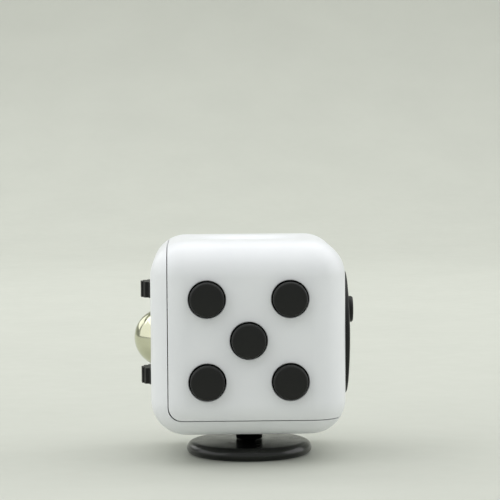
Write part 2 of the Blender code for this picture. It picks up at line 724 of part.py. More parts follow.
def add_dial():
    """The dial, its washer and the screw that clamps it to the wall. Heights are from the face."""
    underside = -DIAL_RECESS + 0.2 * MM
    steps = 3
    rim = DIAL_RADIUS - DIAL_CHAMFER
    points = []
    for i in range(steps + 1):
        radius = rim * i / steps
        points.append((radius, DIAL_EDGE + (DIAL_APEX - DIAL_EDGE) * (1 - (radius / DIAL_RADIUS) ** 2)))
    points += [
        (DIAL_RADIUS, DIAL_EDGE - DIAL_CHAMFER),
        (DIAL_RADIUS, underside),
        (DIAL_SHAFT, underside),
        (DIAL_SHAFT, -DIAL_SHAFT_END),
        (SCREW_PILOT, -DIAL_SHAFT_END),
        (SCREW_PILOT, -0.6 * MM),
        (0, -0.6 * MM),
    ]
    place = Vector((HALF, 0, DIAL_Z))
    dial = add_turned("dial", points, BLACK_PLASTIC, place, RIGHT, 36)
    nub_points = [
        (0, NUB_HEIGHT),
        (NUB_RADIUS - 0.45 * MM, NUB_HEIGHT),
        (NUB_RADIUS - 0.12 * MM, NUB_HEIGHT - 0.15 * MM),
        (NUB_RADIUS, NUB_HEIGHT - 0.45 * MM),
        (NUB_RADIUS, 0.2 * MM),
        (0, 0.2 * MM),
    ]
    nub = add_cutter("dial_nub", profile_mesh("dial_nub", nub_points), place + NUB_PLACE, RIGHT)
    join(dial, turn(nub, 16))

    washer_inner = DIAL_SHAFT + PASS_GAP
    washer_top, washer_bottom = -WALL - PASS_GAP, -WALL - WASHER_BOTTOM
    washer_points = [
        (washer_inner, washer_top),
        (WASHER_RADIUS, washer_top),
        (WASHER_RADIUS, washer_bottom),
        (washer_inner, washer_bottom),
    ]
    add_turned("dial_washer", washer_points, SPRING_STEEL, place, RIGHT, 24, closed=True)
    head_place = place + LEFT * (DIAL_SHAFT_END + REST_GAP)
    add_screw("dial_screw", head_place, RIGHT, 2.2 * MM, head=DIAL_SCREW_HEAD)


def rocker_outline():
    """The rocker's side view, from its pivot: x runs up the cube and y out of the back face."""
    tilt = math.tan(math.radians(ROCKER_SWING))
    end_x, end_y = ROCKER_END_RADIUS, ROCKER_VALLEY
    for _ in range(20):
        end_y = ROCKER_VALLEY + end_x * tilt
        end_x = math.sqrt(ROCKER_END_RADIUS**2 - end_y**2)
    start = math.degrees(math.asin(ROCKER_UNDERSIDE / ROCKER_END_RADIUS))
    right_end = arc(0, 0, ROCKER_END_RADIUS, start, math.degrees(math.atan2(end_y, end_x)), 5)
    left_end = [(-x, y) for x, y in reversed(right_end)]
    hub_start = 180 - math.degrees(math.asin(ROCKER_UNDERSIDE / ROCKER_HUB))
    hub = arc(0, 0, ROCKER_HUB, hub_start, 540 - hub_start, 14)
    return right_end + [(0, ROCKER_VALLEY)] + left_end + hub


def add_rocker():
    """The rocker rests with its lower end pressed in."""
    pivot = Vector((0, ROCKER_PIVOT_Y, 0))
    outlines = [rocker_outline(), circle_outline(SHAFT_RADIUS + RUN_GAP, 16)]
    curve = outline_curve("rocker", outlines, ROCKER_HALF_WIDTH)
    rocker = add("rocker", curve, BLACK_PLASTIC, pivot)
    # The columns say where the outline's own axes point: x up, y out of the back.
    upright = Matrix(((0, 0, -1), (0, 1, 0), (1, 0, 0)))
    tilt = Matrix.Rotation(-math.radians(ROCKER_SWING), 3, "X")
    rocker.rotation_quaternion = (tilt @ upright).to_quaternion()
    pin_half = FRAME_HALF_X - 0.1 * MM
    pin = cylinder_mesh("rocker_pin", SHAFT_RADIUS, -pin_half, pin_half, 16)
    add("rocker_pin", pin, STEEL, pivot, RIGHT)


def add_rocker_frame():
    """A box behind the rocker, with a socket for the plunger that presses on the rocker's hub."""
    low = (-FRAME_HALF_X, FRAME_FLOOR, -FRAME_HALF_Z)
    high = (FRAME_HALF_X, FRAME_BACK, FRAME_HALF_Z)
    frame = add("rocker_frame", box_mesh("rocker_frame", low, high), GREY_PLASTIC, (0, 0, 0))
    ear_front = FRAME_BACK - THIN_WALL
    ear_half = FRAME_SCREW_Z + 1.3 * MM
    low, high = (-EAR_HALF_WIDTH, ear_front, -ear_half), (EAR_HALF_WIDTH, FRAME_BACK, ear_half)
    ear = box_mesh("frame_ears", low, high)
    join(frame, add_cutter("frame_ears", ear, (0, 0, 0)))
    floor = FRAME_FLOOR + 1.0 * MM
    socket = cylinder_mesh("plunger_socket", PLUNGER_SOCKET_RADIUS, PLUNGER_SOCKET, floor - 0.2 * MM, 16)
    join(frame, add_cutter("plunger_socket", socket, (0, 0, 0), BACK))
    hollow_x, hollow_z = FRAME_HALF_X - FRAME_WALL, FRAME_HALF_Z - FRAME_WALL
    hollow = box_mesh("frame_hollow", (-hollow_x, floor, -hollow_z), (hollow_x, HALF, hollow_z))
    cut(frame, add_cutter("frame_hollow", hollow, (0, 0, 0)))
    bore_floor = PLUNGER_SOCKET + THIN_WALL
    bore = cylinder_mesh("plunger_bore", PLUNGER_RADIUS + RUN_GAP, bore_floor, HALF, 16)
    cut(frame, add_cutter("plunger_bore", bore, (0, 0, 0), BACK))
    pin_hole = cylinder_mesh("rocker_pin_hole", SHAFT_RADIUS + HOLD_GAP, -HALF, HALF, 16)
    cut(frame, add_cutter("rocker_pin_hole", pin_hole, (0, ROCKER_PIVOT_Y, 0), RIGHT))
    for label, side in (("upper", 1), ("lower", -1)):
        where = (0, ear_front, side * FRAME_SCREW_Z)
        cut(frame, pilot("frame_hole_" + label, where, BACK, THROUGH_DEPTH))
        head_place = (0, ear_front - REST_GAP, side * FRAME_SCREW_Z)
        add_screw("frame_screw_" + label, head_place, BACK, 2.3 * MM)

    tip = ROCKER_PIVOT_Y - ROCKER_HUB - PASS_GAP
    nose = arc(0, -PLUNGER_RADIUS * 0.5, PLUNGER_RADIUS, 90, 0, 4, 0.5)
    plunger_points = [(0, 0)] + nose[1:] + [(PLUNGER_RADIUS, -PLUNGER_LENGTH), (0, -PLUNGER_LENGTH)]
    add_turned("rocker_plunger", plunger_points, BLACK_PLASTIC, (0, tip, 0), BACK, 16)
    spring_length = tip - PLUNGER_LENGTH - bore_floor - 2 * REST_GAP
    spring_place = (0, bore_floor + REST_GAP, 0)
    add_spring("rocker_spring", spring_place, BACK, 0.65 * MM, 0.15 * MM, spring_length, 2)


def cap_profile():
    """The joystick's cap: a thick disc with a crowned top and a round edge, dished underneath."""
    top_round = CAP_TOP - CAP_CROWN - CAP_WIDEST
    bottom_round = CAP_WIDEST - CAP_BOTTOM
    socket_floor = CAP_TOP - 0.9 * MM
    points = [
        (0, socket_floor),
        (SPIGOT_RADIUS + REST_GAP, socket_floor),
        (SPIGOT_RADIUS + REST_GAP, CAP_TOP),
    ]
    points += arc(CAP_RADIUS - top_round, CAP_WIDEST, top_round, 90, 0, 3)
    points += arc(CAP_RADIUS - bottom_round, CAP_WIDEST, bottom_round, 0, -90, 3)[1:]
    steps = 3
    for i in range(steps + 1):
        radius = CAP_DISH * (1 - i / steps)
        points.append((radius, CAP_BOTTOM + CAP_DISH_DEPTH * (1 - (radius / CAP_DISH) ** 2)))
    return [(radius, height - PIVOT_Z) for radius, height in points]


def add_joystick():
    """The stem and its cap tilt in the gimbal ring, and the ring tilts in the housing."""
    pivot = Vector((STICK_X, 0, PIVOT_Z))
    ring_axis = new_empty("gimbal_axis", pivot, CENTER)
    stick_axis = new_empty("joystick_axis", pivot, CENTER)
    add_turned("joystick_cap", cap_profile(), BLACK_PLASTIC, pivot, UP, 36, stick_axis)

    shoulder = CAP_TOP + PASS_GAP - PIVOT_Z
    spigot_end = CAP_TOP - 0.8 * MM - PIVOT_Z
    stem_points = [
        (0, STEM_TOP),
        (STEM_FOOT, STEM_TOP),
        (STEM_FOOT, STEM_HUB_HALF),
        (STEM_HUB, STEM_HUB_HALF),
        (STEM_HUB, -STEM_HUB_HALF),
        (STEM_RADIUS, -STEM_HUB_HALF - 0.3 * MM),
        (STEM_RADIUS, shoulder),
        (SPIGOT_RADIUS, shoulder),
        (SPIGOT_RADIUS, spigot_end),
        (0, spigot_end),
    ]
    stem = add_turned("joystick_stem", stem_points, BLACK_PLASTIC, pivot, UP, 24, stick_axis)
    pin_bore = cylinder_mesh("stem_pin_bore", GIMBAL_PIN_RADIUS + RUN_GAP, -HALF, HALF, 16)
    cut(stem, add_cutter("stem_pin_bore", pin_bore, pivot, BACK))

    half_height = RING_HEIGHT / 2
    low, high = (-RING_HALF, -RING_HALF, -half_height), (RING_HALF, RING_HALF, half_height)
    ring = add("gimbal_ring", box_mesh("gimbal_ring", low, high), BLACK_PLASTIC, pivot, parent=ring_axis)
    trunnions = cylinder_mesh("trunnions", TRUNNION_RADIUS, -TRUNNION_END, TRUNNION_END, 16)
    join(ring, add_cutter("trunnions", trunnions, pivot, RIGHT))
    low, high = (-RING_HOLE, -RING_HOLE, -HALF), (RING_HOLE, RING_HOLE, HALF)
    cut(ring, add_cutter("ring_hole", box_mesh("ring_hole", low, high), pivot))
    pin_hole = cylinder_mesh("ring_pin_hole", GIMBAL_PIN_RADIUS + HOLD_GAP, -HALF, HALF, 16)
    cut(ring, add_cutter("ring_pin_hole", pin_hole, pivot, BACK))
    pin_half = RING_HALF - 0.1 * MM
    pin = cylinder_mesh("gimbal_pin", GIMBAL_PIN_RADIUS, -pin_half, pin_half, 16)
    add("gimbal_pin", pin, STEEL, pivot, BACK, ring_axis)


def add_joystick_housing():
    """A box round the gimbal, with a tower above it for the centring spring."""
    pivot = Vector((STICK_X, 0, 0))
    low = (-HOUSING_HALF_X, -HOUSING_HALF_Y, HOUSING_FOOT)
    high = (HOUSING_HALF_X, HOUSING_HALF_Y, HOUSING_ROOF)
    housing = add("joystick_housing", box_mesh("joystick_housing", low, high), GREY_PLASTIC, pivot)
    ear_top = HOUSING_FOOT + 0.9 * MM
    ear_half = HOUSING_SCREW_Y + 1.4 * MM
    low, high = (-EAR_HALF_WIDTH, -ear_half, HOUSING_FOOT), (EAR_HALF_WIDTH, ear_half, ear_top)
    ears = box_mesh("housing_ears", low, high)
    join(housing, add_cutter("housing_ears", ears, pivot))
    tower = cylinder_mesh("tower", TOWER_OUTER, HOUSING_ROOF - 0.5 * MM, TOWER_TOP, 28)
    join(housing, add_cutter("tower", tower, pivot))
    roof_under = HOUSING_ROOF - THIN_WALL
    low = (-HOUSING_INNER_X, -HOUSING_INNER_Y, -HALF)
    high = (HOUSING_INNER_X, HOUSING_INNER_Y, roof_under)
    cut(housing, add_cutter("housing_hollow", box_mesh("housing_hollow", low, high), pivot))
    tower_ceiling = TOWER_TOP - THIN_WALL
    bore = cylinder_mesh("tower_bore", TOWER_INNER, HOUSING_ROOF, tower_ceiling, 28)
    cut(housing, add_cutter("tower_bore", bore, pivot))
    throat = cylinder_mesh("tower_throat", TOWER_THROAT, roof_under - 1 * MM, HOUSING_ROOF + 1 * MM, 24)
    cut(housing, add_cutter("tower_throat", throat, pivot))
    bearing = cylinder_mesh("trunnion_bore", TRUNNION_RADIUS + RUN_GAP, -HALF, HALF, 16)
    cut(housing, add_cutter("trunnion_bore", bearing, pivot + UP * PIVOT_Z, RIGHT))
    for label, side in (("front", -1), ("back", 1)):
        where = pivot + Vector((0, side * HOUSING_SCREW_Y, ear_top))
        cut(housing, pilot("housing_hole_" + label, where, DOWN, THROUGH_DEPTH))
        add_screw("housing_screw_" + label, where + UP * REST_GAP, DOWN, 2.4 * MM)

    plate_bottom = HOUSING_ROOF + PASS_GAP
    plate_top = plate_bottom + CENTERING_PLATE_THICKNESS
    plate = cylinder_mesh("centering_plate", CENTERING_PLATE, plate_bottom, plate_top, 24)
    add("centering_plate", plate, STEEL, pivot)
    spring_start = plate_top + REST_GAP
    spring_length = tower_ceiling - REST_GAP - spring_start
    add_spring("centering_spring", pivot + UP * spring_start, UP, 2.9 * MM, 0.3 * MM, spring_length, 3.5)


add_front_shell()
add_rear_shell()
add_buttons()
add_switch_plate()
add_gears()
add_gear_bracket()
add_gear_click_spring()
add_ball()
add_dial()
add_rocker()
add_rocker_frame()
add_joystick()
add_joystick_housing()
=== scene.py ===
"""Looks for the fidget cube.

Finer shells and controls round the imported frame, a pale studio and its camera. Places come from
the frame's boxes and joints. Sizes that a box doesn't give are named below, in metres.
"""

import json
import math

import bmesh
import bpy
from mathutils import Matrix, Vector


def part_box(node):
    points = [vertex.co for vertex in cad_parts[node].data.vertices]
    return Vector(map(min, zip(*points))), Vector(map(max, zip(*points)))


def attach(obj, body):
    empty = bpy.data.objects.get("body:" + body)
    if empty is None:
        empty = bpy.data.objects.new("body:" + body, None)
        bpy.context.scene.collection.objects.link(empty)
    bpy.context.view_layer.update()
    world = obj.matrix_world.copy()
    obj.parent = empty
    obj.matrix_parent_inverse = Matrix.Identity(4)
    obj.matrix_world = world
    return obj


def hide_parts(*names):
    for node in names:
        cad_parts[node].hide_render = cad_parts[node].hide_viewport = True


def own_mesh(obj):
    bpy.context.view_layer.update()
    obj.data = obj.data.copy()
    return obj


MM = 0.001

# Casing.
FILLET = 6.0 * MM
WALL = 2.0 * MM
SEAM_INSET = 3.0 * MM
SEAM_GAP = 0.15 * MM
SEAM_CORNER = 2.3 * MM
LIP = 0.15 * MM
FILLET_SEGMENTS = 14
ROUND_SEGMENTS = 8

# How far a cutter stands proud of a face, and how far it runs on past a wall.
CUTTER_PROUD = 1.0 * MM
CUTTER_PAST_WALL = 0.5 * MM
SHAFT_CUTTER_PAST_WALL = 1.0 * MM

# Front face.
BUTTON_LABELS = ("upper_left", "upper_right", "center", "lower_left", "lower_right")
BUTTON_RADIUS = 2.9 * MM
BUTTON_ROUND = 0.42 * MM
BUTTON_HOLE = 3.15 * MM
FLANGE_THICKNESS = 0.8 * MM
FLANGE_GAP = 0.2 * MM
BUTTON_FOOT = 1.5 * MM

# Left face.
GEAR_LABELS = ("upper", "middle", "lower")
GEAR_RADIUS = 5.2 * MM
GEAR_TOOTH = 0.4 * MM
GEAR_TEETH = 20
GEAR_EDGE = 0.1 * MM
GEAR_CLEARANCE = 0.3 * MM
GEAR_BORE = 0.88 * MM
BALL_HOLE_OUTER = 4.62 * MM
BALL_HOLE_INNER = 5.2 * MM
BALL_HOLE_DEPTH = 2.6 * MM

# Right face.
DIAL_RECESS = 0.45 * MM
DIAL_RECESS_GAP = 0.3 * MM
DIAL_UNDERSIDE = -0.25 * MM
DIAL_EDGE = 0.75 * MM
DIAL_APEX = 1.4 * MM
DIAL_EDGE_ROUND = 0.25 * MM
DIAL_SHAFT = 2.0 * MM
DIAL_SHAFT_GAP = 0.08 * MM
DIAL_SHAFT_END = 2.95 * MM
DIAL_BORE = 0.65 * MM
DIAL_BORE_FLOOR = -0.6 * MM
NUB_RADIUS = 2.25 * MM
NUB_ROUND = 0.35 * MM
NUB_ROOT = 0.2 * MM
NUB_PLACE = Vector((0, -4.2, 4.3)) * MM

# Top face.
DISH_HALF_X = 10.0 * MM
DISH_HALF_Y = 7.5 * MM
DISH_DEPTH = 1.8 * MM
DISH_OVERRUN = 0.3 * MM
DISH_BACKING = 1.9 * MM
DISH_BACKING_MARGIN = 1.4 * MM
DISH_BACKING_TOP = -0.8 * MM

# Back face.
ROCKER_SWING = 8.0
ROCKER_END_RADIUS = 7.75 * MM
ROCKER_VALLEY = 3.5 * MM
ROCKER_UNDERSIDE = 1.0 * MM
ROCKER_HUB = 2.9 * MM
ROCKER_BORE = 0.88 * MM
ROCKER_EDGE = 0.25 * MM
ROCKER_GAP = 0.2 * MM
ROCKER_SIDE_GAP = 0.3 * MM

# Bottom face.
STEM_HOLE = 4.1 * MM
CAP_WIDEST = 0.95 * MM
CAP_CROWN = 0.25 * MM
CAP_DISH = 8.6 * MM
CAP_DISH_DEPTH = 0.5 * MM
CAP_SOCKET = 1.25 * MM
CAP_SOCKET_DEPTH = 0.9 * MM

# The camera, measured from the cube's centre.
CAMERA_PLACE = Vector((-7.356, -348.279, 34.893)) * MM
CAMERA_RIGHT = Vector((0.99970, -0.02349, -0.00703))
CAMERA_UP = Vector((0.00841, 0.05914, 0.99821))
SENSOR = 36.0
LENS = 144.0
CLIP_START = 0.01
CLIP_END = 20.0

# Each area light: its place and target from the cube's centre, its size in metres and its watts.
LIGHTS = {
    "overhead": ((0.0, 0.0, 0.75), (0.0, 0.0, 0.0), (1.5, 1.3), 5.2),
    "left_bounce": ((-0.65, -0.15, 0.38), (0.0, 0.0, 0.0), (0.9, 0.8), 1.7),
    "left_rear_panel": ((-0.55, 0.55, 0.32), (0.0, 0.0, 0.0), (0.45, 0.3), 0.55),
    "right_bounce": ((0.65, 0.05, 0.3), (0.0, 0.0, 0.0), (0.7, 0.7), 1.6),
    "backdrop_wash": ((0.0, 0.3, 0.6), (0.0, 0.85, 0.0), (1.6, 0.3), 2.6),
}
WORLD_COLOUR = (0.95, 0.97, 0.97, 1)
WORLD_STRENGTH = 0.56

# The backdrop's paper. Its colour is painted darker from the floor up to the height below: painted shade, for less
# light reaching the upper wall.
BACKDROP_DARK = (0.535, 0.550, 0.495)
BACKDROP_LIGHT = (0.555, 0.570, 0.513)
BACKDROP_PAINTED_SHADE = (0.80, 0.80, 0.79)
BACKDROP_SHADE_HEIGHT = 0.16
BACKDROP_MOTTLE = 30.0
BACKDROP_SHEEN = 200.0

# Scales of the materials' noise. A larger one gives finer features.
PLASTIC_MOTTLE = 140.0
PLASTIC_SHEEN = 420.0
PLASTIC_GRAIN = 5200.0
PLASTIC_WAVES = 260.0
METAL_MOTTLE = 300.0
METAL_LINES = 2600.0
METAL_LINE_DEPTH = 0.002 * MM

# The bends, in degrees, above which an edge is shaded sharp and above which it is bevelled.
SHARP_DEGREES = 35
BEVEL_DEGREES = 40
WELD_DISTANCE = 1e-6
PLATE_WELD_DISTANCE = 1e-7

LEFT = Vector((-1, 0, 0))
RIGHT = Vector((1, 0, 0))
FRONT = Vector((0, -1, 0))
BACK = Vector((0, 1, 0))
UP = Vector((0, 0, 1))
DOWN = Vector((0, 0, -1))

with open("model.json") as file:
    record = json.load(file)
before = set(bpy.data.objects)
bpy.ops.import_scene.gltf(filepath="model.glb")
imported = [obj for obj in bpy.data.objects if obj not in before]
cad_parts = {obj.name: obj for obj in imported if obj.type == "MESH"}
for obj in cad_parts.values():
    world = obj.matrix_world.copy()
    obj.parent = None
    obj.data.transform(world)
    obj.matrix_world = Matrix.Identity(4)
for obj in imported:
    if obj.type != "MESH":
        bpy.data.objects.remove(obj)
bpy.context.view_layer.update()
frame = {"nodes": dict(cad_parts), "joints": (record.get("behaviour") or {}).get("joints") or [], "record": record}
NODES = frame["nodes"]
JOINTS = {joint["name"]: joint for joint in frame["joints"]}


def middle(node):
    low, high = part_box(node)
    return (low + high) / 2


def find_cube():
    """The cube's centre and half its edge. Each shell has three of its faces."""
    front_low, front_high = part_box("front_shell")
    rear_low, rear_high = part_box("rear_shell")
    low = Vector((rear_low.x, front_low.y, rear_low.z))
    high = Vector((front_high.x, rear_high.y, front_high.z))
    return (low + high) / 2, (high.x - low.x) / 2


CUBE, HALF = find_cube()


def dial_face():
    """Where the dial's axis meets the right face."""
    place = Vector(JOINTS["dial_spin"]["pos_m"])
    place.x = CUBE.x + HALF
    return place


# ---------------------------------------------------------------- materials


class Recipe:
    """A Principled material with colour, roughness and bump from noise in the object's space."""

    def __init__(self, name, metallic=0.0):
        self.material = bpy.data.materials.new(name)
        self.material.use_nodes = True
        self.tree = self.material.node_tree
        self.shader = self.tree.nodes["Principled BSDF"]
        self.shader.inputs["Metallic"].default_value = metallic
        self.coordinates = self.add("ShaderNodeTexCoord").outputs["Object"]

    def add(self, kind):
        return self.tree.nodes.new(kind)

    def link(self, source, target):
        self.tree.links.new(source, target)

    def noise(self, scale, detail=3.0, stretch=None):
        """Noise, finer as scale grows, and drawn out along the axes where stretch is small."""
        node = self.add("ShaderNodeTexNoise")
        node.inputs["Scale"].default_value = scale
        node.inputs["Detail"].default_value = detail
        place = self.coordinates
        if stretch:
            mapping = self.add("ShaderNodeMapping")
            mapping.inputs["Scale"].default_value = stretch
            self.link(place, mapping.inputs["Vector"])
            place = mapping.outputs["Vector"]
        self.link(place, node.inputs["Vector"])
        return node.outputs["Fac"]

    def ramp(self, source, low, high, start=0.3, end=0.7):
        """Maps noise onto the range from low to high: two numbers or two colours."""
        if isinstance(low, float):
            node = self.add("ShaderNodeMapRange")
            node.inputs["From Min"].default_value = start
            node.inputs["From Max"].default_value = end
            node.inputs["To Min"].default_value = low
            node.inputs["To Max"].default_value = high
            self.link(source, node.inputs["Value"])
            return node.outputs["Result"]
        node = self.add("ShaderNodeValToRGB")
        first, last = node.color_ramp.elements
        first.position, first.color = start, (*low, 1)
        last.position, last.color = end, (*high, 1)
        self.link(source, node.inputs["Fac"])
        return node.outputs["Color"]

    def colour(self, source):
        self.link(source, self.shader.inputs["Base Color"])

    def roughness(self, source):
        self.link(source, self.shader.inputs["Roughness"])

    def bump(self, *layers):
        """Each layer is a height pattern and how far it stands out, in metres."""
        normal = None
        for source, distance in layers:
            node = self.add("ShaderNodeBump")
            node.inputs["Distance"].default_value = distance
            self.link(source, node.inputs["Height"])
            if normal:
                self.link(normal, node.inputs["Normal"])
            normal = node.outputs["Normal"]
        self.link(normal, self.shader.inputs["Normal"])


def moulded_plastic(name, dark, light, smooth, rough, grain):
    """Moulded plastic: faint mottling, uneven sheen, and a spark-eroded grain of that depth."""
    recipe = Recipe(name)
    recipe.colour(recipe.ramp(recipe.noise(PLASTIC_MOTTLE), dark, light))
    recipe.roughness(recipe.ramp(recipe.noise(PLASTIC_SHEEN, 5.0), smooth, rough))
    fine = recipe.noise(PLASTIC_GRAIN, 2.0)
    slow = recipe.noise(PLASTIC_WAVES, 2.0)
    recipe.bump((slow, grain * 1.5), (fine, grain))
    return recipe


def drawn_metal(name, dark, light, smooth, rough, stretch):
    """Metal with fine lines drawn out along one axis."""
    recipe = Recipe(name, metallic=1.0)
    lines = recipe.noise(METAL_LINES, 4.0, stretch)
    recipe.colour(recipe.ramp(recipe.noise(METAL_MOTTLE), dark, light))
    recipe.roughness(recipe.ramp(lines, smooth, rough))
    recipe.bump((lines, METAL_LINE_DEPTH))
    return recipe


def make_materials():
    white = moulded_plastic(
        "white_plastic",
        dark=(0.80, 0.815, 0.835),
        light=(0.83, 0.845, 0.86),
        smooth=0.30,
        rough=0.42,
        grain=0.004 * MM,
    )
    white.shader.inputs["Subsurface Weight"].default_value = 0.06
    white.shader.inputs["Subsurface Radius"].default_value = (0.6, 0.6, 0.6)
    white.shader.inputs["Subsurface Scale"].default_value = 1.0 * MM
    black = moulded_plastic(
        "black_plastic",
        dark=(0.004, 0.0045, 0.004),
        light=(0.007, 0.0075, 0.006),
        smooth=0.38,
        rough=0.52,
        grain=0.006 * MM,
    )
    black.shader.inputs["Specular IOR Level"].default_value = 0.32
    polished = moulded_plastic(
        "black_plastic_polished",
        dark=(0.005, 0.006, 0.005),
        light=(0.008, 0.009, 0.007),
        smooth=0.18,
        rough=0.28,
        grain=0.002 * MM,
    )
    grey = moulded_plastic(
        "grey_plastic",
        dark=(0.20, 0.21, 0.22),
        light=(0.24, 0.25, 0.26),
        smooth=0.40,
        rough=0.52,
        grain=0.006 * MM,
    )
    silicone = moulded_plastic(
        "silicone",
        dark=(0.52, 0.53, 0.52),
        light=(0.58, 0.59, 0.58),
        smooth=0.50,
        rough=0.65,
        grain=0.004 * MM,
    )
    ball = drawn_metal(
        "ball_steel",
        dark=(0.56, 0.56, 0.41),
        light=(0.64, 0.64, 0.48),
        smooth=0.05,
        rough=0.13,
        stretch=(1.0, 1.0, 0.2),
    )
    steel = drawn_metal(
        "steel",
        dark=(0.54, 0.54, 0.53),
        light=(0.62, 0.62, 0.61),
        smooth=0.24,
        rough=0.38,
        stretch=(1.0, 1.0, 0.15),
    )
    spring = drawn_metal(
        "spring_steel",
        dark=(0.40, 0.40, 0.39),
        light=(0.48, 0.48, 0.47),
        smooth=0.26,
        rough=0.40,
        stretch=(0.15, 1.0, 1.0),
    )
    recipes = (white, black, polished, grey, silicone, ball, steel, spring)
    return {recipe.material.name: recipe.material for recipe in recipes}


# The frame brings in materials of the same names, so they make way first.
for old in list(bpy.data.materials):
    old.name = "cad_" + old.name
MATERIALS = make_materials()


# ---------------------------------------------------------------- mesh tools


def new_object(name, data, place=(0, 0, 0), axis=UP):
    obj = bpy.data.objects.new(name, data)
    bpy.context.scene.collection.objects.link(obj)
    obj.location = place
    obj.rotation_mode = "QUATERNION"
    obj.rotation_quaternion = UP.rotation_difference(axis)
    return obj


def mesh_from(name, build):
    mesh = bpy.data.meshes.new(name)
    work = bmesh.new()
    build(work)
    bmesh.ops.recalc_face_normals(work, faces=work.faces)
    work.to_mesh(mesh)
    work.free()
    return mesh


def box_mesh(name, low, high):
    low, high = Vector(low), Vector(high)
    matrix = Matrix.Translation((low + high) / 2) @ Matrix.Diagonal((*(high - low), 1))
    return mesh_from(name, lambda work: bmesh.ops.create_cube(work, size=1, matrix=matrix))


def turned_mesh(name, points, segments):
    """A closed solid turned from a profile of (radius, height) that starts and ends on the axis."""

    def build(work):
        rings = []
        for radius, height in points:
            count = 1 if radius < 1e-9 else segments
            ring = []
            for i in range(count):
                angle = 2 * math.pi * i / segments
                x, y = radius * math.cos(angle), radius * math.sin(angle)
                ring.append(work.verts.new((x, y, height)))
            rings.append(ring)
        for above, below in zip(rings, rings[1:]):
            for i in range(segments):
                corners = [above[i % len(above)], above[(i + 1) % len(above)]]
                corners += [below[(i + 1) % len(below)], below[i % len(below)]]
                corners = list(dict.fromkeys(corners))
                if len(corners) > 2:
                    work.faces.new(corners)

    return mesh_from(name, build)


def arc(center_radius, center_height, radius, start, end, steps):
    """Points of a profile's round stretch. Angles are in degrees, from the outward direction."""
    angles = [math.radians(start + (end - start) * i / steps) for i in range(steps + 1)]
    return [
        (center_radius + radius * math.cos(a), center_height + radius * math.sin(a)) for a in angles
    ]


def combine(obj, other, operation):
    modifier = obj.modifiers.new(other.name, "BOOLEAN")
    modifier.operation = operation
    modifier.solver = "EXACT"
    modifier.object = other


def bevel(obj, width, segments):
    modifier = obj.modifiers.new("bevel", "BEVEL")
    modifier.width = width
    modifier.segments = segments
    modifier.limit_method = "ANGLE"
    modifier.angle_limit = math.radians(BEVEL_DEGREES)


def settle(obj, helpers=()):
    """Applies the modifiers, then removes the objects that they used."""
    bpy.context.view_layer.update()
    graph = bpy.context.evaluated_depsgraph_get()
    obj.data = bpy.data.meshes.new_from_object(obj.evaluated_get(graph))
    obj.modifiers.clear()
    for helper in helpers:
        bpy.data.objects.remove(helper, do_unlink=True)


def shade(obj):
    """Smooth shading with sharp edges kept, and flat faces that stay flat."""
    obj.data.shade_smooth()
    obj.data.set_sharp_from_angle(angle=math.radians(SHARP_DEGREES))
    weighted = obj.modifiers.new("weighted_normal", "WEIGHTED_NORMAL")
    weighted.keep_sharp = True
    weighted.weight = 80


def finish_piece(obj, body, slot, *nodes, material=None):
    obj.data.materials.clear()
    obj.data.materials.append(MATERIALS[material or slot])
    shade(obj)
    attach(obj, body)
    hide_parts(*nodes)


# ---------------------------------------------------------------- casing


def round_hole(name, radius, depth, place, axis, segments=64):
    """A cutter for a round hole whose mouth has a small radius."""
    points = [(0, CUTTER_PROUD), (radius + LIP, CUTTER_PROUD)]
    points += arc(radius + LIP, -LIP, LIP, 90, 180, 4)
    points += [(radius, -depth), (0, -depth)]
    return new_object(name, turned_mesh(name, points, segments), place, axis)


def cylinder(name, radius, low, high, place, axis, segments=64, top_radius=None):
    top = radius if top_radius is None else top_radius
    points = [(0, high), (top, high), (radius, low), (0, low)]
    return new_object(name, turned_mesh(name, points, segments), place, axis)


def flare(name, half_x, half_y, place, axis):
    """A cutter that chamfers a rectangular slot's mouth.

    The axis is LEFT or BACK, and half_y runs up the cube.
    """

    def build(work):
        rings = []
        for height, spread in ((-LIP, 0.0), (0.0, LIP), (LIP, 2 * LIP)):
            x, y = half_x + spread, half_y + spread
            corners = ((-x, -y), (x, -y), (x, y), (-x, y))
            across = UP.cross(axis)
            rings.append([work.verts.new(across * a + UP * b + axis * height) for a, b in corners])
        work.faces.new(rings[0][::-1])
        work.faces.new(rings[-1])
        for below, above in zip(rings, rings[1:]):
            for i in range(4):
                j = (i + 1) % 4
                work.faces.new((below[i], below[j], above[j], above[i]))

    return new_object(name, mesh_from(name, build), place)


def body_block(name):
    """The casing's outside, hollowed, before it is cut into its two shells."""
    block = new_object(name, box_mesh(name, (-HALF,) * 3, (HALF,) * 3), CUBE)
    bevel(block, FILLET, FILLET_SEGMENTS)
    inner = HALF - WALL
    cavity = new_object(name + "_cavity", box_mesh("cavity", (-inner,) * 3, (inner,) * 3), CUBE)
    bevel(cavity, FILLET - WALL, ROUND_SEGMENTS)
    combine(block, cavity, "DIFFERENCE")
    return block, [cavity]


def seam_region(name, inset):
    near, far = HALF - inset, 2 * HALF
    region = new_object(name, box_mesh(name, (-near, -far, -near), (far, near, far)), CUBE)
    bevel(region, SEAM_CORNER, ROUND_SEGMENTS)
    return region


def dish_cutter():
    """A shallow bowl with a softly rounded rim."""
    bowl = (DISH_HALF_X**2 + DISH_DEPTH**2) / (2 * DISH_DEPTH)
    rim = math.degrees(math.asin((bowl - DISH_DEPTH) / bowl))
    edge = DISH_HALF_X + DISH_OVERRUN
    points = [(0, DISH_DEPTH), (edge, DISH_DEPTH), (edge, 0)]
    points += arc(0, bowl - DISH_DEPTH, bowl, -rim - 1, -90, 24)
    points[-1] = (0, -DISH_DEPTH)
    cutter = new_object("dish_cutter", turned_mesh("dish_cutter", points, 96), CUBE + UP * HALF)
    cutter.scale = (1, DISH_HALF_Y / DISH_HALF_X, 1)
    return cutter


